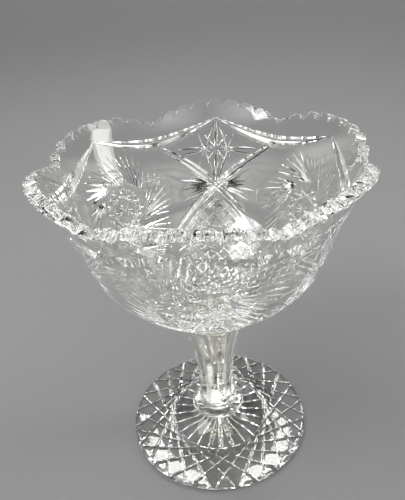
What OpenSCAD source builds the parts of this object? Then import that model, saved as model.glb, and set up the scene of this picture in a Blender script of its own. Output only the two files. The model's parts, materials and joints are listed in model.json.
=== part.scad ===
// Two-part cut glass punch bowl: a lobed bowl whose ground peg drops into a panelled stand.
// Millimetres, +Z up, origin at the centre of the foot's resting face.
// One lobe of the rim is centred on +Y.

/* [Bowl] */
// Outside diameter across two opposite lobe tips
rim_d = 307; // [280:1:370]
// Height of the lobe tips' outer edge above the bowl's lowest point
bowl_h = 179; // [149:1:205]
// Outside diameter where the round bottom turns into the wall
belly_d = 216; // [190:1:235]
// Height of that turn above the bowl's lowest point
belly_h = 73; // [64:1:84]
// Thickness of the glass
wall_t = 11; // [8:0.5:14]

/* [Rim] */
// Number of lobes round the rim
lobe_count = 6; // [5:1:8]
// Drop from a lobe's tip to the dip beside it
lobe_drop = 16; // [8:1:24]
// How square the lobes' shoulders are, 2 is a plain arch
lobe_shoulder = 2.3; // [2:0.1:3]
// Full-size teeth on each lobe
large_teeth = 7; // [5:1:8]
// Width of the small tooth on each side of a dip, as a share of a full-size one
small_tooth_share = 0.56; // [0.5:0.02:0.9]
// Depth of the notch between two full-size teeth
notch_depth = 8.5; // [5:0.5:9.5]
// Fall of the cut edge from the inside to the outside
edge_fall = 23; // [10:1:35]

/* [Foot] */
// Diameter of the foot
foot_d = 200; // [160:1:240]
// Thickness at the foot's polished edge
foot_edge_t = 6; // [4:0.5:9]
// Thickness at the middle, where the collars stand
foot_h = 26; // [20:1:34]
// Diameter of the flat on top that the lower collar stands on
foot_top_d = 60; // [50:1:76]

/* [Collars] */
// Diameter of the lower collar
base_collar_d = 59; // [50:1:70]
// Thickness of the lower collar
base_collar_t = 7; // [5:0.5:10]
// Diameter of the two rings of the upper collar
ring_collar_d = 44; // [40:1:48]
// Thickness of the upper collar, both rings together
ring_collar_t = 10; // [7:0.5:14]
// Diameter of the dished collar on top of the stem
stem_collar_d = 66; // [62:1:72]
// Height of that collar at its rim
stem_collar_t = 9; // [8:0.5:12]
// Thickness of that collar under the middle of the bowl
seat_t = 5; // [4:0.5:6]

/* [Stem] */
// Length of the stem between its collars
stem_h = 108.5; // [95:0.5:131]
// Number of flat panels round the stem
panel_count = 8; // [6:2:10]
// Width across the flats at the stem's foot
stem_foot_w = 39; // [36:1:40]
// Width across the flats at the narrowest place
stem_waist_w = 36; // [30:1:38]
// Height of the narrowest place above the stem's foot
stem_waist_h = 18; // [12:1:26]
// Width across the flats at the top
stem_top_w = 60; // [52:1:62]

/* [Peg and socket] */
// Diameter of the bowl's peg where it joins the bowl
peg_d = 27; // [22:1:33]
// Diameter of the peg's blunt tip
peg_tip_d = 4; // [3:0.5:8]
// Length of the peg
peg_l = 60; // [50:1:70]
// Space between the bowl with its peg and the stand
fit_gap = 0.3; // [0.3:0.05:0.6]

/* [Hidden] */
clear_glass = [0.88, 0.91, 0.90];
ivory_glass = [0.90, 0.89, 0.83];
curve_steps = 14;
round_steps = 6;
tooth_steps = 4;
edge_round = 0.8;
$fn = 96;

base_collar_z = foot_h;
ring_collar_z = base_collar_z + base_collar_t;
stem_z = ring_collar_z + ring_collar_t;
stem_collar_z = stem_z + stem_h;
bowl_z = stem_collar_z + seat_t + fit_gap;
rim_z = bowl_z + bowl_h;
spare = 12;
cutter_reach = 6 * wall_t;
widening = 1.5;

// The bowl's outline: a round bottom, then a wall that flares out to the rim
flare_top = [rim_d / 2, rim_z];
turn = [belly_d / 2, bowl_z + belly_h];
bottom_curve = [[0, bowl_z], [0.31 * turn.x, bowl_z], [turn.x - 16, turn.y - 30], turn];
wall_curve = [turn, [turn.x + 8, turn.y + 16], [rim_d / 2 - 30, rim_z - 40], flare_top];
flare = (wall_curve[3].x - wall_curve[2].x) / (wall_curve[3].y - wall_curve[2].y);

function bezier(p, t) =
    pow(1 - t, 3) * p[0] + 3 * t * pow(1 - t, 2) * p[1] + 3 * t * t * (1 - t) * p[2] + pow(t, 3) * p[3];
function bezier_run(p, n) = [for (i = [0 : n]) bezier(p, i / n)];
function unit(v) = v / norm(v);
function left_of(v) = [-v.y, v.x];
function reversed(list) = [for (i = [len(list) - 1 : -1 : 0]) list[i]];

// The outline, carried straight on past the rim so that the teeth can be cut out of it
outer_line = concat(
    bezier_run(bottom_curve, curve_steps),
    [for (i = [1 : curve_steps]) bezier(wall_curve, i / curve_steps)],
    [flare_top + spare * [flare, 1]]
);
last = len(outer_line) - 1;
function along(i) = i == 0 ? [1, 0] : unit(outer_line[min(i + 1, last)] - outer_line[i - 1]);
inner_line = [for (i = [0 : last]) outer_line[i] + wall_t * left_of(along(i))];

// The teeth, measured round one lobe from the dip before it to the dip after it
lobe_span = 360 / lobe_count;
large_span = lobe_span / (large_teeth + 2 * small_tooth_share);
small_span = large_span * small_tooth_share;
function tooth_span(i) = i == 0 || i == large_teeth + 1 ? small_span : large_span;
function tooth_start(i) = i == 0 ? 0 : small_span + (i - 1) * large_span;

// The rim's outer edge at an angle round the bowl, before the notches are cut
function dip_share(a) = pow(abs(a - lobe_span * round(a / lobe_span)) / (lobe_span / 2), lobe_shoulder);
function edge_z(a) = rim_z - lobe_drop * dip_share(a);
function edge_r(a) = rim_d / 2 - lobe_drop * dip_share(a) * flare;
// The cut edge falls outwards: these run square to its fall and down it
function across(r, z) = r * sin(edge_fall) + z * cos(edge_fall);
function down_fall(r, z) = r * cos(edge_fall) - z * sin(edge_fall);

// Where the cutter's outline runs, at a share of the way up from a notch to a tooth's top
function tooth_point(notch_a, top_a, depth, share) =
    let (a = notch_a + (top_a - notch_a) * (1 - cos(90 * share)),
         down = depth * (1 - sin(90 * share)),
         swing = a - notch_a)
    [edge_r(a) * sin(swing), across(edge_r(a) * cos(swing), edge_z(a)) - down * cos(edge_fall)];

module notch_cutter(notch_a, before, after) {
    depth = notch_depth * min(before, after) / large_span;
    high = across(rim_d / 2, rim_z) + 3 * spare;
    before_top = notch_a - before / 2;
    after_top = notch_a + after / 2;
    side_before = [for (i = [0 : tooth_steps]) tooth_point(notch_a, before_top, depth, i / tooth_steps)];
    side_after = [for (i = [0 : tooth_steps]) tooth_point(notch_a, after_top, depth, i / tooth_steps)];
    // x runs round the rim, y across the cut edge, and the cutter reaches out through the wall
    rotate([0, 0, 90 - notch_a])
        rotate([0, edge_fall, 0])
        rotate([90, 0, 90])
        translate([0, 0, down_fall(rim_d / 2, rim_z)])
        mirror([1, 0, 0])
        linear_extrude(height = cutter_reach, center = true)
        polygon(concat(
            reversed(side_before),
            [for (i = [1 : tooth_steps]) side_after[i]],
            [[widening * side_after[tooth_steps].x, high], [widening * side_before[tooth_steps].x, high]]
        ));
}

module bowl() {
    color(clear_glass)
    difference() {
        rotate_extrude() polygon(concat(outer_line, reversed(inner_line)));
        for (lobe = [0 : lobe_count - 1], i = [0 : large_teeth + 1])
            notch_cutter(
                (lobe - 0.5) * lobe_span + tooth_start(i),
                i == 0 ? small_span : tooth_span(i - 1),
                tooth_span(i)
            );
    }
}

// The space inside the bowl's outline, or that far outside it
module bowl_room(gap) {
    side = [for (i = [0 : last]) outer_line[i] - gap * left_of(along(i))];
    rotate_extrude() polygon(concat(side, [[0, side[last].y]]));
}

// The peg and its socket are one cone, which runs on up to the bowl's round bottom
peg_slope = (peg_d - peg_tip_d) / 2 / peg_l;
peg_z = bowl_z - peg_l;

module peg_cone(gap) {
    wider = 2 * gap * sqrt(1 + peg_slope * peg_slope);
    low_d = peg_tip_d - 2 * gap * peg_slope + wider;
    h = gap + peg_l + spare;
    translate([0, 0, peg_z - gap]) cylinder(h = h, d1 = low_d, d2 = low_d + 2 * peg_slope * h);
}

module bowl_peg() {
    color(clear_glass)
    difference() {
        peg_cone(0);
        bowl_room(0);
    }
}

// A turned disc with a rounded edge
module ring(d, t) {
    r = t / 2;
    edge = [for (i = [0 : 2 * round_steps]) let (a = 90 - 90 * i / round_steps)
        [d / 2 - r + r * cos(a), r + r * sin(a)]];
    rotate_extrude() polygon(concat([[0, t]], edge, [[0, 0]]));
}

// The collar is dished to the bowl's round bottom, less the gap
module stem_collar() {
    color(ivory_glass)
    difference() {
        translate([0, 0, stem_collar_z]) ring(stem_collar_d, stem_collar_t);
        bowl_room(fit_gap);
        peg_cone(fit_gap);
    }
}

stem_waist_z = stem_z + stem_waist_h;
stem_low_curve = [
    [stem_foot_w / 2, stem_z],
    [stem_waist_w / 2, stem_z + stem_waist_h / 3],
    [stem_waist_w / 2, stem_waist_z - stem_waist_h / 3],
    [stem_waist_w / 2, stem_waist_z]
];
stem_high_curve = [
    [stem_waist_w / 2, stem_waist_z],
    [stem_waist_w / 2, stem_waist_z + (stem_h - stem_waist_h) / 3],
    [stem_top_w / 2 - 6, stem_collar_z - 26],
    [stem_top_w / 2, stem_collar_z]
];
stem_side = concat(
    bezier_run(stem_low_curve, round_steps),
    [for (i = [1 : curve_steps]) bezier(stem_high_curve, i / curve_steps)]
);

module stem() {
    color(ivory_glass)
    difference() {
        intersection_for (i = [0 : panel_count / 2 - 1])
            rotate([0, 0, i * 360 / panel_count])
            rotate([90, 0, 0])
            linear_extrude(height = 2 * stem_top_w, center = true)
            polygon(concat(stem_side, [for (p = reversed(stem_side)) [-p.x, p.y]]));
        peg_cone(fit_gap);
    }
}

module ring_collar() {
    color(clear_glass)
    translate([0, 0, ring_collar_z])
    union() {
        ring(ring_collar_d, ring_collar_t / 2);
        translate([0, 0, ring_collar_t / 2]) ring(ring_collar_d, ring_collar_t / 2);
    }
}

module base_collar() {
    color(clear_glass)
    translate([0, 0, base_collar_z]) ring(base_collar_d, base_collar_t);
}

foot_curve = [
    [foot_top_d / 2, foot_h],
    [0.22 * foot_d, foot_edge_t + 6],
    [0.35 * foot_d, foot_edge_t + 3],
    [foot_d / 2 - edge_round, foot_edge_t]
];

module foot() {
    color(clear_glass)
    rotate_extrude()
    polygon(concat(
        [[0, 0], [0, foot_h]],
        bezier_run(foot_curve, curve_steps),
        [[foot_d / 2, foot_edge_t - edge_round], [foot_d / 2, edge_round], [foot_d / 2 - edge_round, 0]]
    ));
}

bowl();
bowl_peg();
stem_collar();
stem();
ring_collar();
base_collar();
foot();
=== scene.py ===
import json
import math

import bmesh
import bpy
from mathutils import Matrix, Vector
from mathutils.bvhtree import BVHTree

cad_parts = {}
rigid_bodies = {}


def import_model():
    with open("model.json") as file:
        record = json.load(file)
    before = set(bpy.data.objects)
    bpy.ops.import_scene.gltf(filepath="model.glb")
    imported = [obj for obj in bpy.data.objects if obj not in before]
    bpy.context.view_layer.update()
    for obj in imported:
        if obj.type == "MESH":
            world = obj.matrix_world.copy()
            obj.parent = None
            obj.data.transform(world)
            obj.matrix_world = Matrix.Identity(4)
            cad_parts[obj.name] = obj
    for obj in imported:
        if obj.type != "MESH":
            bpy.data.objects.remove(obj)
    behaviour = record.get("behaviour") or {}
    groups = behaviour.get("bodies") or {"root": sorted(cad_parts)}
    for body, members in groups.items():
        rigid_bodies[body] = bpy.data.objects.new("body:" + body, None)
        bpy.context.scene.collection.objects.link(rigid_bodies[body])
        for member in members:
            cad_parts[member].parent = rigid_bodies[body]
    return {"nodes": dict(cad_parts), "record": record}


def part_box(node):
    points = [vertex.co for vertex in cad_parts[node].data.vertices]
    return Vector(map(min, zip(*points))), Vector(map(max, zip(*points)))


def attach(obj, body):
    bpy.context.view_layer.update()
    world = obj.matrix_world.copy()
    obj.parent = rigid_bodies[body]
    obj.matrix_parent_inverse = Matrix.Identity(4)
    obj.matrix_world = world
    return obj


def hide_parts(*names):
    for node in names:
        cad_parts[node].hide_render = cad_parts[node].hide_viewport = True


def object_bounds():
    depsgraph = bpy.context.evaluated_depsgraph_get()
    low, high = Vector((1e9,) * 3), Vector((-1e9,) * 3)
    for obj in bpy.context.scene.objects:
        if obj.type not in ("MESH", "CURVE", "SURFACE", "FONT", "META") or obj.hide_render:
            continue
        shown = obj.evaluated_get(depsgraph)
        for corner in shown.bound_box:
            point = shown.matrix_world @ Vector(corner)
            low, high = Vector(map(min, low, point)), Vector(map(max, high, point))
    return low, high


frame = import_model()
cad_lo, cad_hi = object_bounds()

# The object's lengths are in millimetres; MM turns them into metres when a mesh is made.
# The camera, the floor and the lights are placed in metres.
MM = 0.001

# The rim, as the CAD node has it
LOBES = 6
LOBE_DROP = 16.0                # from a lobe's tip to the dip beside it
LOBE_SHOULDER = 2.3             # how square the lobes' shoulders are
LARGE_TEETH = 7                 # full-size teeth on each lobe
SMALL_TOOTH = 0.56              # width of a tooth beside a dip, as a share of a full-size one
NOTCH_DEPTH = 8.5
EDGE_FALL = math.radians(23)    # fall of the cut edge from the inside to the outside
RIM_TOP = 0.97655               # height of the lobes' outer edge, as a share of the bowl's
RIM_STEPS = 8                   # segments from a notch to a tooth's top
ROUND = 240                     # segments round the bowl
SHRINK = 0.12                   # keeps the visible bowl inside the CAD node's box

# The mitre cutting, as distances up along the bowl's outer surface from its middle
SWAG_PEAK, SWAG_LOW = 229.5, 209.0
CROSS = 155.5                   # where the wide bands cross
BAND_TOP, BAND_LOW = 205.0, 106.0
WHEEL = 152.5                   # the pinwheels' centres
PANELS_ROUND = 3                # crossed panels round the bowl, with a pinwheel after each

STEM_PANELS = 8
SOCKET_GAP = 0.3                # between the peg and its socket
SEAM = 0.02                     # between the faces of pieces that touch

# The camera, in metres and degrees
CAM_TURN = 7.82                 # how far round from the front lobe it stands
CAM_OUT, CAM_HEIGHT = 0.443136, 0.508522
CAM_YAW = 0.6744                # aside from the bowl's axis
CAM_TILT = 58.3053              # up from straight down
CAM_ROLL = -4.3305              # round its own view

MIX_A, MIX_B, MIX_RESULT = 6, 7, 2      # a Mix node's sockets for colours


# ---------------------------------------------------------------- the camera

def make_camera():
    """Looks about 32 degrees down on the bowl, from a little to one side of the front lobe."""
    data = bpy.data.cameras.new("camera")
    data.lens = 38.56
    data.sensor_width = 36.0
    data.clip_start, data.clip_end = 0.01, 50.0
    camera = bpy.data.objects.new("camera", data)
    bpy.context.scene.collection.objects.link(camera)

    def rotation(degrees, axis):
        return Matrix.Rotation(math.radians(degrees), 4, axis)

    stand = rotation(CAM_TURN, "Z") @ Matrix.Translation((0, -CAM_OUT, CAM_HEIGHT))
    look = rotation(CAM_YAW, "Z") @ rotation(CAM_TILT, "X") @ rotation(CAM_ROLL, "Z")
    camera.matrix_world = stand @ look
    bpy.context.scene.camera = camera


# ---------------------------------------------------------------- small helpers

def lerp(a, b, t):
    return a + (b - a) * t


def spoke(a):
    """The direction at an angle round the axis, from +Y towards +X."""
    return Vector((math.sin(a), math.cos(a), 0.0))


def polar(r, a):
    return r * math.cos(a), r * math.sin(a)


def box_mm(node):
    lo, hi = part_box(node)
    return lo / MM, hi / MM


def body_of(node):
    bodies = frame["record"]["behaviour"]["bodies"]
    return next(name for name, nodes in bodies.items() if node in nodes)


def new_object(name, verts, faces, smooth=None):
    mesh = bpy.data.meshes.new(name)
    mesh.from_pydata([Vector(v) * MM for v in verts], [], faces)
    mesh.validate()
    bm = bmesh.new()
    bm.from_mesh(mesh)
    bmesh.ops.remove_doubles(bm, verts=bm.verts, dist=1e-6)
    bmesh.ops.recalc_face_normals(bm, faces=bm.faces)
    bm.to_mesh(mesh)
    bm.free()
    obj = bpy.data.objects.new(name, mesh)
    bpy.context.scene.collection.objects.link(obj)
    if smooth is not None:
        shade(obj, smooth)
    return obj


def shade(obj, degrees):
    """Smooth faces, with edges sharper than the angle kept sharp."""
    mesh = obj.data
    mesh.shade_smooth()
    mesh.set_sharp_from_angle(angle=math.radians(degrees))


def revolve(profile, n):
    """Turns a closed loop of (r, z) points round the axis. A loop may have points on the axis."""
    verts, faces = [], []
    m = len(profile)
    for k in range(n):
        d = spoke(2 * math.pi * k / n)
        verts += [(d.x * r, d.y * r, z) for r, z in profile]
    for k in range(n):
        k2 = (k + 1) % n
        for i in range(m):
            i2 = (i + 1) % m
            if profile[i][0] < 1e-6 and profile[i2][0] < 1e-6:
                continue
            faces.append((k * m + i, k2 * m + i, k2 * m + i2, k * m + i2))
    return verts, faces


def cut(obj, cutters):
    """Takes the cutters out of the object. The parts of one cutter don't touch each other."""
    group = bpy.data.collections.new(obj.name + "_cutters")
    bpy.context.scene.collection.children.link(group)
    for i, (verts, faces) in enumerate(cutters):
        tool = new_object(f"tool_{i}", verts, faces)
        bpy.context.scene.collection.objects.unlink(tool)
        group.objects.link(tool)
    change = obj.modifiers.new("cut", "BOOLEAN")
    change.operation = "DIFFERENCE"
    change.solver = "MANIFOLD"
    change.operand_type = "COLLECTION"
    change.collection = group
    depsgraph = bpy.context.evaluated_depsgraph_get()
    made = bpy.data.meshes.new_from_object(obj.evaluated_get(depsgraph))
    obj.modifiers.remove(change)
    obj.data = made
    bm = bmesh.new()
    bm.from_mesh(made)
    bmesh.ops.dissolve_degenerate(bm, dist=0.002 * MM, edges=bm.edges)
    bm.to_mesh(made)
    bm.free()
    made.materials.clear()
    for polygon in made.polygons:
        polygon.material_index = 0
    for tool in list(group.objects):
        bpy.data.objects.remove(tool)
    bpy.data.collections.remove(group)


def join_parts(parts):
    """Several (vertices, faces) as one."""
    verts, faces = [], []
    for v, f in parts:
        base = len(verts)
        verts += v
        faces += [tuple(base + i for i in face) for face in f]
    return verts, faces


def turned(part, n):
    """n copies of a part round the axis, as one mesh."""
    copies = []
    for k in range(n):
        m = Matrix.Rotation(-2 * math.pi * k / n, 3, "Z")
        copies.append(([m @ Vector(v) for v in part[0]], part[1]))
    return join_parts(copies)


def vee(samples):
    """A V-shaped cutter along samples of (point, surface normal, width, depth)."""
    verts, faces = [], []
    last = len(samples) - 1
    for i, (p, n, w, d) in enumerate(samples):
        along = samples[min(i + 1, last)][0] - samples[max(i - 1, 0)][0]
        side = along.cross(n).normalized()
        high = 0.5 * d + 0.35
        half = w / 2 * (1 + high / d)
        verts += [p - n * d, p + side * half + n * high, p - side * half + n * high]
    for i in range(last):
        q = 3 * i
        for a, b in ((0, 1), (1, 2), (2, 0)):
            faces += [(q + a, q + b, q + b + 3), (q + a, q + b + 3, q + a + 3)]
    faces += [(2, 1, 0), (3 * last, 3 * last + 1, 3 * last + 2)]
    return verts, faces


# How wide and deep a groove is along its length, from 0 to 1

def lens(t):
    """Widest in the middle, with both ends pointed."""
    return max(0.0, math.sin(math.pi * t)) ** 0.6


def feather(t):
    """Wide near the start and drawn out to a point."""
    return max(0.0, math.sin(math.pi * min(1.0, t ** 0.62))) ** 0.75


def bar(t):
    """Full width, with short ends."""
    return min(1.0, 0.12 + 7 * t, 0.12 + 7 * (1 - t))


# ---------------------------------------------------------------- measuring the CAD nodes

PROBE = spoke(math.radians(1.0))    # the direction measured in, clear of the nodes' corners


def tree_of(node):
    """A node's CAD mesh, ready for rays, in millimetres."""
    obj = frame["nodes"][node]
    world = obj.matrix_world
    verts = [world @ v.co / MM for v in obj.data.vertices]
    return BVHTree.FromPolygons(verts, [tuple(p.vertices) for p in obj.data.polygons])


def top_at(tree, r, start):
    """The point of a node's top at a distance from the axis, looking down from a height."""
    r = max(r, 0.1)
    return tree.ray_cast(Vector((PROBE.x * r, PROBE.y * r, start)), Vector((0, 0, -1)))[0]


def radius_at(tree, z):
    """A slender node's radius at a height."""
    return tree.ray_cast(PROBE * 60 + Vector((0, 0, z)), -PROBE)[0].xy.length


def read_profile(node):
    """The outside and the inside of the bowl as lists of (r, z), from the middle to the rim."""
    tree = tree_of(node)
    lo, hi = box_mm(node)
    d = spoke(math.radians(0.4))
    low, high = lo.z, hi.z

    def up_at(r, start, way):
        hit = tree.ray_cast(Vector((d.x * r, d.y * r, start)), Vector((0, 0, way)))[0]
        return hit.z if hit else None

    def out_at(z, start, way):
        hit = tree.ray_cast(d * start + Vector((0, 0, z)), d * way)[0]
        return hit.xy.length if hit else None

    outside, inside = [], []
    r = 0.0
    while r < 101:
        outside.append((r, up_at(max(r, 0.2), low - 20, 1)))
        r += 3.0
    z = outside[-1][1] + 2.5
    while z < high - 5:
        outside.append((out_at(z, 400, -1), z))
        z += 3.2
    r = 0.0
    while r < 90:
        inside.append((r, up_at(max(r, 0.2), high + 30, -1)))
        r += 3.0
    z = inside[-1][1] + 2.5
    while z < high - 3:
        inside.append((out_at(z, 0, 1), z))
        z += 3.6
    return smoothed(outside, 3), smoothed(inside, 3)


def smoothed(line, rounds):
    """Evens out a line of pairs and leaves its two ends where they are."""
    for _ in range(rounds):
        line = [line[0]] + [
            tuple((line[i - 1][k] + 2 * line[i][k] + line[i + 1][k]) / 4 for k in (0, 1))
            for i in range(1, len(line) - 1)
        ] + [line[-1]]
    return line


def extended(line, length):
    """Carries a line of (r, z) straight on past its end, in three steps."""
    (r0, z0), (r1, z1) = line[-5], line[-1]
    d = math.hypot(r1 - r0, z1 - z0)
    return line + [(r1 + (r1 - r0) / d * length * k / 3, z1 + (z1 - z0) / d * length * k / 3)
                   for k in (1, 2, 3)]


class Wall:
    """The bowl's outer surface: a point and a normal at an angle round it and a distance up along it."""

    def __init__(self, line):
        self.line = line
        self.s = [0.0]
        for i in range(1, len(line)):
            self.s.append(self.s[-1] + math.hypot(line[i][0] - line[i - 1][0], line[i][1] - line[i - 1][1]))

    def rz(self, s):
        i = 0
        while i < len(self.s) - 2 and self.s[i + 1] < s:
            i += 1
        t = (s - self.s[i]) / (self.s[i + 1] - self.s[i])
        return tuple(lerp(self.line[i][k], self.line[i + 1][k], t) for k in (0, 1))

    def at(self, a, s):
        r, z = self.rz(s)
        r0, z0 = self.rz(max(0.0, s - 2))
        r1, z1 = self.rz(s + 2)
        d = spoke(a)
        return d * r + Vector((0, 0, z)), (d * (z1 - z0) - Vector((0, 0, r1 - r0))).normalized()

    def stroke(self, a0, s0, start, end, width, depth, form=lens, n=9):
        """A groove between two points given in mm across and up from a place on the wall."""
        samples = []
        for i in range(n):
            t = i / (n - 1)
            u, v = lerp(start[0], end[0], t), lerp(start[1], end[1], t)
            r, _ = self.rz(s0 + v)
            p, normal = self.at(a0 + u / r, s0 + v)
            f = max(0.06, form(t))
            samples.append((p, normal, width * f, depth * f))
        return vee(samples)

    def line_between(self, a0, s0, a1, s1, width, depth, form=lens, n=24, sag=None, beside=0.0):
        """A groove that runs evenly in angle and distance, moved to its left by the length beside."""
        def place(t):
            return lerp(a0, a1, t), (lerp(s0, s1, t) if sag is None else sag(t))

        samples = []
        for i in range(n):
            t = i / (n - 1)
            f = max(0.06, form(t))
            (ab, sb), (a, s), (af, sf) = place(max(0, t - 0.01)), place(t), place(min(1, t + 0.01))
            r, _ = self.rz(s)
            du, ds = (af - ab) * r, sf - sb
            size = math.hypot(du, ds)
            off = beside * f
            p, normal = self.at(a - ds / size * off / r, s + du / size * off)
            samples.append((p, normal, width * f, depth * f))
        return vee(samples)


# ---------------------------------------------------------------- the bowl

def notch_cutters(rim_r, rim_z, flare):
    """What is cut away above the teeth: one curved cutter for each notch."""
    span = 2 * math.pi / LOBES
    large = span / (LARGE_TEETH + 2 * SMALL_TOOTH)
    small = large * SMALL_TOOTH
    widths = [small] + [large] * LARGE_TEETH + [small]

    def dip(a):
        return (abs(a - span * round(a / span)) / (span / 2)) ** LOBE_SHOULDER

    def edge(a):
        return rim_r - LOBE_DROP * dip(a) * flare, rim_z - LOBE_DROP * dip(a)

    def across(r, z):
        return r * math.sin(EDGE_FALL) + z * math.cos(EDGE_FALL)

    high = across(rim_r, rim_z) + 36        # the cutters' top, well above the rim
    reach = 66.0                            # their length through the wall
    middle = rim_r * math.cos(EDGE_FALL) - rim_z * math.sin(EDGE_FALL)
    parts = []
    for lobe in range(LOBES):
        start = (lobe - 0.5) * span
        for i, width in enumerate(widths):
            notch = start + sum(widths[:i])
            before = widths[i - 1]
            depth = NOTCH_DEPTH * min(before, width) / large
            outline = []
            for top, steps in (
                (notch - before / 2, range(RIM_STEPS, -1, -1)),
                (notch + width / 2, range(1, RIM_STEPS + 1)),
            ):
                for k in steps:
                    share = k / RIM_STEPS
                    a = notch + (top - notch) * (1 - math.cos(math.pi / 2 * share))
                    down = depth * (1 - math.sin(math.pi / 2 * share))
                    r, z = edge(a)
                    outline.append((r * math.sin(a - notch),
                                    across(r * math.cos(a - notch), z) - down * math.cos(EDGE_FALL)))
            outline += [(1.5 * outline[end][0], high) for end in (-1, 0)]
            d, e = spoke(notch), spoke(notch + math.pi / 2)
            rise = d * math.sin(EDGE_FALL) + Vector((0, 0, math.cos(EDGE_FALL)))
            out = d * math.cos(EDGE_FALL) - Vector((0, 0, math.sin(EDGE_FALL)))
            n = len(outline)
            verts = [e * x + rise * y + out * (middle + w) for w in (-reach / 2, reach / 2) for x, y in outline]
            faces = [tuple(range(n)), tuple(range(2 * n - 1, n - 1, -1))]
            faces += [(i0, i0 + n, (i0 + 1) % n + n, (i0 + 1) % n) for i0 in range(n)]
            parts.append((verts, faces))
    return [join_parts(parts[k::3]) for k in range(3)]


def thirds(part):
    """A part repeated in each crossed panel, or in each pinwheel, round the bowl."""
    return turned(part, PANELS_ROUND)


def swags(wall):
    """They hang from lobe to lobe, under the dips of the rim: two grooves side by side."""
    def line(t):
        return SWAG_PEAK - (SWAG_PEAK - SWAG_LOW) * (1 - abs(2 * t - 1) ** 1.85)

    def form(t):
        return math.sin(math.pi * t) ** 0.75

    end = 0.004                 # half the angle between two swags
    span = 2 * math.pi / LOBES
    return [
        turned(wall.line_between(end, 0, span - end, 0, width, depth, n=41, sag=line, form=form,
                                 beside=beside), LOBES)
        for beside, width, depth in ((3.3, 5.6, 2.3), (-3.3, 7.8, 2.9))
    ]


def crossed_bands(wall):
    """The wide bands, also of two grooves each, and the fans beside the crossing."""
    def form(t):
        return math.sin(math.pi * t) ** 0.42 * (1 - 0.35 * math.exp(-((t - 0.5) / 0.08) ** 2))

    groups = []
    for side in (1, -1):
        for beside in (-2.9, 2.9):
            groups.append(thirds(wall.line_between(-side * 0.52, BAND_TOP, side * 0.52, BAND_LOW, 5.8, 2.3,
                                                   form=form, n=45, beside=beside)))
    for side in (1, -1):
        for angle, length in ((22, 31), (12.5, 43), (4, 33), (-4, 46), (-12.5, 33), (-21, 41)):
            c, d = polar(1, math.radians(angle))
            c *= side
            groups.append(thirds(wall.stroke(0, CROSS, (9 * c, 9 * d), (length * c, length * d), 3.2, 1.6,
                                             form=feather)))
    return groups


def kite(wall):
    """Over the crossing: a double line, two stars and the lines that meet in them."""
    groups = []
    for x in (-1.3, 1.3):
        for start, end in (((x, 6), (x, 38)), ((x, 44), (x, SWAG_PEAK - CROSS - 4))):
            groups.append(thirds(wall.stroke(0, CROSS, start, end, 2.1, 1.1, n=10)))
    for side in (1, -1):
        x, y = side * 13.5, 40.5
        for angle in (22.5, 67.5, 112.5, 157.5):
            c, d = polar(8.2, math.radians(angle))
            groups.append(thirds(wall.stroke(0, CROSS, (x - c, y - d), (x + c, y + d), 1.9, 1.0, n=7)))
        for start, end, width in (
            ((1.5, 70), (21.5, 20), 2.2), ((20.5, 58), (5, 16), 2.2), ((2, 41.5), (46, 43), 2.0),
            ((18, 38), (40, 36), 1.7), ((1, 42), (14, 57), 1.6), ((1, 40), (12, 26), 1.6),
            ((2, 8), (8, 27), 2.2),
        ):
            groups.append(thirds(wall.stroke(0, CROSS, (side * start[0], start[1]), (side * end[0], end[1]),
                                             width, width * 0.52, n=11)))
    return groups


def squares(wall):
    """Under the crossing: lines four and four along both bands, which leave clear squares."""
    groups = []
    slope = (CROSS - BAND_LOW) / 0.515      # mm up the wall for each radian round it
    pitch, step = 0.196, 0.034              # of the bunches and of the lines in one
    margin = 0.075                          # what stays clear beside the bands
    for side in (1, -1):
        for bunch in range(-5, 2):
            for k in range(4):
                offset = side * (-0.126 + bunch * pitch + (k - 1.5) * step)
                inside = []
                for i in range(81):
                    s = lerp(CROSS - 8, BAND_LOW - 1, i / 80)
                    a = offset + side * (CROSS - s) / slope
                    if abs(a) < (CROSS - s) / slope - margin:
                        inside.append((a, s))
                if len(inside) > 5:
                    groups.append(thirds(wall.line_between(*inside[0], *inside[-1], 1.3, 0.7, form=bar, n=9)))
    return groups


def pinwheels(wall):
    """A star in a disc, and six swept vanes of tapered strokes."""
    groups = []
    home = math.pi / PANELS_ROUND
    disc = 25.5
    points = 16
    for k in range(points):
        ends = [polar(disc, 2 * math.pi * q / points) for q in (k, k + 5)]
        groups.append(thirds(wall.stroke(home, WHEEL, *ends, 2.2, 1.15, form=bar, n=9)))
    for k in range(points // 2):
        c, d = polar(14.5, 2 * math.pi * (k + 0.5) / points)
        groups.append(thirds(wall.stroke(home, WHEEL, (-c, -d), (c, d), 1.9, 1.0, n=7)))
    rays = []
    for k in range(points):
        a = 2 * math.pi * (k + 0.5) / points
        rays.append(wall.stroke(home, WHEEL, polar(19.5, a), polar(27.5, a), 2.2, 1.1, n=5))
    groups.append(thirds(join_parts(rays)))
    vanes = 6
    for j in range(8):
        for odd in (0, 1):
            strokes = []
            for k in range(odd, vanes, 2):
                base = 2 * math.pi * k / vanes + math.radians(18)
                root = polar(disc + 3.0, base + math.radians(4.3 * j))
                tip = polar(63.5 - 0.45 * (j - 3.5) ** 2, base + math.radians(22 + 7.6 * j))
                strokes.append(wall.stroke(home, WHEEL, root, tip, 3.3, 1.65, form=feather, n=11))
            groups.append(thirds(join_parts(strokes)))
    return groups


def round_bottom(wall):
    """Lines both ways and straight up, which leave small diamonds."""
    groups = []
    lines = 36
    start = 34
    for k in range(3):
        a = 2 * math.pi * k / lines
        for side in (1, -1):
            line = wall.line_between(a, start, a + side * 0.62, 103, 3.8, 2.0, form=bar, n=16)
            groups.append(turned(line, lines // 3))
        line = wall.line_between(a + 0.04, start, a + 0.04, 101, 2.2, 1.15, form=bar, n=9)
        groups.append(turned(line, lines // 3))
    return groups


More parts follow.
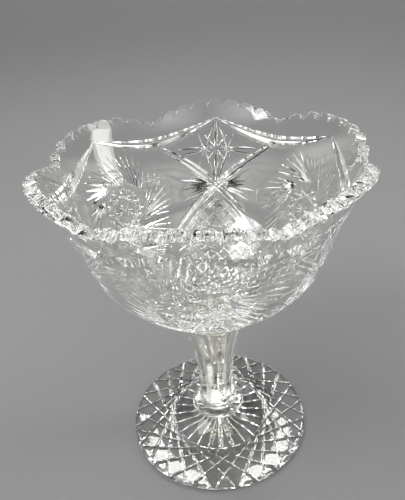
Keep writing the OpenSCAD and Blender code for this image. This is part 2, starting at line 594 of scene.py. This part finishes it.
def pattern(wall):
    """The mitre cutting, as groups of grooves. The grooves of one group don't touch."""
    return (swags(wall) + crossed_bands(wall) + kite(wall) + squares(wall) + pinwheels(wall)
            + round_bottom(wall))


def round_rim(bowl, above):
    """Rounds the edges between the teeth and the wall, up to the corners at the notches' bottoms."""
    bm = bmesh.new()
    bm.from_mesh(bowl.data)
    bmesh.ops.remove_doubles(bm, verts=bm.verts, dist=0.12 * MM)
    sharp = [e for e in bm.edges if len(e.link_faces) == 2 and e.calc_face_angle() > math.radians(35)
             and e.verts[0].co.z > above * MM]
    through_wall = 6 * MM
    corners = {v for e in sharp if e.calc_length() > through_wall for v in e.verts}
    edges = [e for e in sharp if e.calc_length() < through_wall and not corners.intersection(e.verts)]
    bmesh.ops.bevel(bm, geom=edges, offset=0.8 * MM, offset_type="OFFSET", segments=2, profile=0.5,
                    affect="EDGES", clamp_overlap=False)
    bm.to_mesh(bowl.data)
    bm.free()


def make_bowl(material):
    outside, inside = read_profile("bowl")
    lo, hi = box_mm("bowl")
    rim_z = lo.z + (hi.z - lo.z) * RIM_TOP - 0.2
    rim_r = max(hi.y, -lo.y) - 0.03
    (r0, z0), (r1, z1) = outside[-6], outside[-1]
    flare = (r1 - r0) / (z1 - z0)
    outside_line = [(max(0.0, r - SHRINK), z) for r, z in extended(outside, 22)]
    inside_line = [(max(0.0, r - SHRINK), z) for r, z in extended(inside, 16)]
    loop = outside_line + inside_line[::-1]
    wall = Wall(outside_line)
    bowl = new_object("bowl_crystal", *revolve(loop, ROUND))
    cut(bowl, notch_cutters(rim_r, rim_z, flare))
    round_rim(bowl, rim_z - 40)
    cut(bowl, pattern(wall))
    shade(bowl, 17)
    bowl.data.materials.append(material)
    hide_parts("bowl")
    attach(bowl, body_of("bowl"))


# ---------------------------------------------------------------- the peg

def make_peg(material):
    lo, hi = box_mm("bowl_peg")
    tree = tree_of("bowl_peg")
    line = [(0.0, lo.z + 0.02)]
    for k in range(25):
        z = lerp(lo.z + 0.05, hi.z - 2.8, k / 24)
        line.append((radius_at(tree, z) - 0.01, z))
    top = []
    for k in range(7):
        r = lerp(13.4, 0.0, k / 6)
        top.append((r, top_at(tree, r, hi.z + 30).z - 0.03))
    peg = new_object("bowl_peg_crystal", *revolve(line + top, 96), smooth=25)
    peg.data.materials.append(material)
    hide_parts("bowl_peg")
    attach(peg, body_of("bowl_peg"))


# ---------------------------------------------------------------- the stem

def read_stem():
    """The stem's half-width across the panels, as a list of (width, height)."""
    lo, hi = box_mm("stem")
    tree = tree_of("stem")
    steps = 40
    widths = []
    for k in range(steps + 1):
        z = lerp(lo.z + 0.03, hi.z - 0.03, k / steps)
        hit = tree.ray_cast(Vector((0.3, 200, z)), Vector((0, -1, 0)))[0]
        widths.append((hit.y, z))
    return smoothed(widths, 3)


def panelled(widths, corner):
    """The stem's flat panels. Its edges are further out than the panels by the factor corner."""
    verts, faces = [], []
    n = STEM_PANELS
    last = len(widths) - 1
    for w, z in widths:
        for k in range(n):
            d = spoke(2 * math.pi * (k + 0.5) / n)
            verts.append((d.x * w * corner, d.y * w * corner, z))
    for i in range(last):
        low, high = i * n, (i + 1) * n
        for k in range(n):
            k2 = (k + 1) % n
            faces.append((low + k, low + k2, high + k2, high + k))
    faces.append(tuple(range(n)))
    faces.append(tuple(last * n + k for k in range(n)))
    return verts, faces


def read_socket():
    """The socket's radius at a height, as a function: a little wider than the peg all the way."""
    lo, hi = box_mm("bowl_peg")
    peg = tree_of("bowl_peg")
    z0, z1 = lo.z + 0.5, hi.z - 4
    r0, r1 = radius_at(peg, z0), radius_at(peg, z1)
    slope = (r1 - r0) / (z1 - z0)

    def socket_r(z):
        return r0 + slope * (z - z0) + SOCKET_GAP

    return socket_r, lo.z - SOCKET_GAP


def saw_notches(widths, corner):
    """Small notches down each edge between two panels, in two groups so that none touch."""
    lo, hi = box_mm("stem")
    groups = [[], []]
    pitch, half_height, half_width = 2.2, 1.5, 5
    up = Vector((0, 0, 1))
    for i in range(int((hi.z - lo.z - 5) / pitch)):
        z = lo.z + 3 + i * pitch
        nearest = min(range(len(widths)), key=lambda q: abs(widths[q][1] - z))
        w = widths[nearest][0] * corner
        tip, mouth = w - 2.0, w + 0.6
        for k in range(STEM_PANELS):
            d = spoke(2 * math.pi * (k + 0.5) / STEM_PANELS)
            e = Vector((d.y, -d.x, 0))
            tri = [d * tip + up * z, d * mouth + up * (z + half_height), d * mouth + up * (z - half_height)]
            groups[i % 2].append((
                [p - e * half_width for p in tri] + [p + e * half_width for p in tri],
                [(0, 1, 2), (5, 4, 3), (0, 3, 4, 1), (1, 4, 5, 2), (2, 5, 3, 0)],
            ))
    return [join_parts(group) for group in groups]


def make_stem(material, socket_r, socket_floor):
    widths = read_stem()
    corner = 1 / math.cos(math.pi / STEM_PANELS)
    stem = new_object("stem_crystal", *panelled(widths, corner))
    low, high = socket_floor, box_mm("stem")[1].z + 20
    socket = revolve([(0, low), (socket_r(low), low), (socket_r(high), high), (0, high)], 96)
    cut(stem, [socket] + saw_notches(widths, corner))
    shade(stem, 12)
    stem.data.materials.append(material)
    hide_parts("stem")
    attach(stem, body_of("stem"))


# ---------------------------------------------------------------- collars and foot

def make_turned(name, node, profile, material):
    obj = new_object(name, *revolve(profile, 160), smooth=28)
    obj.data.materials.append(material)
    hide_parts(node)
    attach(obj, body_of(node))
    return obj


def bead(r, z0, z1, steps=10):
    """A half-round edge of a ring."""
    h = (z1 - z0) / 2
    return [(r - h + h * math.cos(a), z0 + h + h * math.sin(a))
            for a in [math.pi * (k / steps - 0.5) for k in range(steps + 1)]]


def make_collars(materials, socket_r):
    lo, hi = box_mm("base_collar")
    low, high = lo.z + SEAM, hi.z - SEAM
    make_turned("base_collar_crystal", "base_collar",
                [(0, low)] + bead(hi.x, low, high) + [(0, high)],
                materials["foot"])

    lo, hi = box_mm("ring_collar")
    low, middle, high = lo.z + SEAM, (lo.z + hi.z) / 2, hi.z - SEAM
    groove, upper_ring = hi.x - 2.6, hi.x - 0.35
    make_turned("ring_collar_crystal", "ring_collar",
                [(0, low)] + bead(hi.x, low, middle) + [(groove, middle)]
                + bead(upper_ring, middle, high)[1:] + [(0, high)],
                materials["foot"])

    # the dished collar follows the CAD node's top
    lo, hi = box_mm("stem_collar")
    low, high = lo.z + SEAM, hi.z - SEAM
    tree = tree_of("stem_collar")
    top = []
    r = hi.x - 5.5
    inner = socket_r(hi.z - 3.0)
    while r > inner + 0.6:
        hit = top_at(tree, r, hi.z + 5)
        if hit and hit.z < hi.z - 0.05:
            top.append((r, hit.z))
        r -= 0.9
    seat_z = top[-1][1]
    make_turned("stem_collar_crystal", "stem_collar",
                [(socket_r(low), low)] + bead(hi.x, low, high) + top
                + [(socket_r(seat_z) + 0.02, seat_z - 0.02)],
                materials["stem"])


def star_lattice(reach):
    """The cutting under the foot: long chords across it and a ring of rays, from below."""
    points = 24
    skip = 7.88                 # points that a chord passes over
    down = Vector((0, 0, -1))
    tools = []
    for k in range(points):
        a = 2 * math.pi * k / points
        b = a + 2 * math.pi * skip / points
        ends = [Vector((reach * math.sin(q), reach * math.cos(q), 0)) for q in (a, b)]
        tools.append(vee([(lerp(ends[0], ends[1], i / 4), down, 4.4, 2.3) for i in range(5)]))
    rays = []
    for k in range(points):
        d = spoke(2 * math.pi * (k + 0.5) / points)
        samples = []
        for i in range(13):
            f = lens(0.03 + 0.94 * i / 12)
            samples.append((d * lerp(10, 58, i / 12), down, 5.4 * f, 2.4 * f))
        rays.append(vee(samples))
    return tools + [join_parts(rays)]


def make_foot(material):
    lo, hi = box_mm("foot")
    tree = tree_of("foot")
    edge = hi.x - 0.02
    line = []
    r = 0.0
    while r < edge - 1:
        line.append((r, top_at(tree, r, hi.z + 5).z - 0.02))
        r += 2.5
    line = smoothed(line, 4)
    edge_z = line[-1][1]
    round_edge = [(edge - 2 + 2 * math.sin(a), edge_z - 2.2 + 2 * math.cos(a)) for a in
                  [math.radians(q) for q in (20, 40, 60, 80)]]
    loop = line + round_edge + [(edge, 1.6), (edge - 0.5, 0.6), (edge - 1.6, 0.0), (0, 0)]
    foot = new_object("foot_crystal", *revolve(loop, 180))
    cut(foot, star_lattice(edge + 1.0))
    shade(foot, 17)
    foot.data.materials.append(material)
    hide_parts("foot")
    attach(foot, body_of("foot"))


# ---------------------------------------------------------------- materials

def crystal(name, tint, roughness, grain):
    """Polished lead glass with the faint marks that the cutting wheel leaves."""
    mat = bpy.data.materials.new(name)
    mat.use_nodes = True
    nodes, links = mat.node_tree.nodes, mat.node_tree.links
    bsdf = nodes["Principled BSDF"]
    bsdf.inputs["Base Color"].default_value = (*tint, 1)
    bsdf.inputs["Roughness"].default_value = roughness
    bsdf.inputs["IOR"].default_value = 1.545
    bsdf.inputs["Transmission Weight"].default_value = 1.0
    coords = nodes.new("ShaderNodeTexCoord")
    noise = nodes.new("ShaderNodeTexNoise")
    noise.inputs["Scale"].default_value = grain
    noise.inputs["Detail"].default_value = 3.0
    bump = nodes.new("ShaderNodeBump")
    bump.inputs["Strength"].default_value = 0.05
    bump.inputs["Distance"].default_value = 0.0003
    links.new(coords.outputs["Object"], noise.inputs["Vector"])
    links.new(noise.outputs["Fac"], bump.inputs["Height"])
    links.new(bump.outputs["Normal"], bsdf.inputs["Normal"])
    return mat


def matte(name, color, roughness, grain, amount):
    """A plain colour that a noise darkens by up to the amount."""
    mat = bpy.data.materials.new(name)
    mat.use_nodes = True
    nodes, links = mat.node_tree.nodes, mat.node_tree.links
    bsdf = nodes["Principled BSDF"]
    bsdf.inputs["Roughness"].default_value = roughness
    noise = nodes.new("ShaderNodeTexNoise")
    noise.inputs["Scale"].default_value = grain
    mix = nodes.new("ShaderNodeMix")
    mix.data_type = "RGBA"
    mix.inputs[MIX_A].default_value = (*[c * (1 - amount) for c in color], 1)
    mix.inputs[MIX_B].default_value = (*color, 1)
    links.new(noise.outputs["Fac"], mix.inputs["Factor"])
    links.new(mix.outputs[MIX_RESULT], bsdf.inputs["Base Color"])
    return mat


# ---------------------------------------------------------------- floor and light

def make_stage():
    radius = 9.0                # in metres
    n = 64
    mesh = bpy.data.meshes.new("floor")
    mesh.from_pydata([(*polar(radius, 2 * math.pi * k / n), 0) for k in range(n)], [], [tuple(range(n))])
    floor = bpy.data.objects.new("floor", mesh)
    floor.location.z = cad_lo.z - 0.0002
    bpy.context.scene.collection.objects.link(floor)
    mesh.materials.append(matte("pale_floor", (0.27, 0.27, 0.274), 0.7, 30, 0.03))


def softbox(name, place, aim, size, power, color=(1, 1, 1)):
    data = bpy.data.lights.new(name, "AREA")
    data.shape = "RECTANGLE"
    data.size, data.size_y = size
    data.energy = power
    data.color = color
    lamp = bpy.data.objects.new(name, data)
    bpy.context.scene.collection.objects.link(lamp)
    lamp.location = place
    lamp.rotation_euler = (Vector(aim) - Vector(place)).to_track_quat("-Z", "Y").to_euler()


def make_light():
    """A pale dome that darkens to the horizon behind the object, and three soft boxes."""
    world = bpy.data.worlds.new("studio")
    bpy.context.scene.world = world
    world.use_nodes = True
    nodes, links = world.node_tree.nodes, world.node_tree.links
    coords = nodes.new("ShaderNodeTexCoord")
    split = nodes.new("ShaderNodeSeparateXYZ")
    ramp = nodes.new("ShaderNodeValToRGB")
    links.new(coords.outputs["Generated"], split.inputs["Vector"])
    links.new(split.outputs["Z"], ramp.inputs["Fac"])
    # higher up, brighter and darker bands stand round the object
    around = nodes.new("ShaderNodeTexGradient")
    around.gradient_type = "RADIAL"
    bands = nodes.new("ShaderNodeValToRGB")
    fade = nodes.new("ShaderNodeMapRange")
    fade.inputs["From Min"].default_value = -0.12
    fade.inputs["From Max"].default_value = 0.25
    both = nodes.new("ShaderNodeMix")
    both.data_type = "RGBA"
    both.blend_type = "MULTIPLY"
    links.new(coords.outputs["Generated"], around.inputs["Vector"])
    links.new(around.outputs["Fac"], bands.inputs["Fac"])
    links.new(split.outputs["Z"], fade.inputs["Value"])
    links.new(fade.outputs["Result"], both.inputs["Factor"])
    links.new(ramp.outputs["Color"], both.inputs[MIX_A])
    links.new(bands.outputs["Color"], both.inputs[MIX_B])
    links.new(both.outputs[MIX_RESULT], nodes["Background"].inputs["Color"])
    bands.color_ramp.elements[0].color = bands.color_ramp.elements[1].color = (1, 1, 1, 1)
    for k in range(10):
        stop = bands.color_ramp.elements.new(0.05 + 0.1 * k)
        level = 1.0 if k % 2 else 0.08
        stop.color = (level, level, level, 1)
    stops = ramp.color_ramp.elements
    stops[0].position, stops[0].color = 0.0, (0.4, 0.4, 0.39, 1)
    stops[1].position, stops[1].color = 1.0, (1.0, 1.0, 1.0, 1)
    for place, shade_of in ((0.14, 0.7), (0.22, 0.9), (0.3, 0.03), (0.54, 0.03), (0.66, 0.9)):
        stop = stops.new(place)
        stop.color = (shade_of, shade_of, shade_of, 1)
    nodes["Background"].inputs["Strength"].default_value = 1.7
    softbox("key", (-0.9, -0.5, 1.6), (0, 0, 0.2), (0.7, 0.7), 9)
    softbox("side", (1.4, 0.3, 0.9), (0, 0, 0.2), (0.4, 1.0), 6, (1, 0.98, 0.94))
    softbox("back", (-0.5, 1.35, 1.5), (0, 0, 0.2), (0.8, 0.16), 5)


def render_settings():
    scene = bpy.context.scene
    scene.view_settings.view_transform = "Standard"
    scene.view_settings.look = "Medium High Contrast"
    cycles = scene.cycles
    cycles.max_bounces = 24
    cycles.transmission_bounces = 24
    cycles.glossy_bounces = 20
    cycles.diffuse_bounces = 3
    cycles.sample_clamp_indirect = 12.0
    cycles.use_denoising = True


make_camera()
make_stage()
make_light()
render_settings()
glass = {
    "bowl": crystal("bowl_glass", (0.985, 0.985, 0.965), 0.0, 160),
    "stem": crystal("stem_glass", (0.985, 0.98, 0.94), 0.0, 160),
    "foot": crystal("foot_glass", (0.985, 0.985, 0.97), 0.0, 160),
}
make_bowl(glass["bowl"])
make_peg(glass["bowl"])
socket_radius, socket_bottom = read_socket()
make_stem(glass["stem"], socket_radius, socket_bottom)
make_collars(glass, socket_radius)
make_foot(glass["foot"])
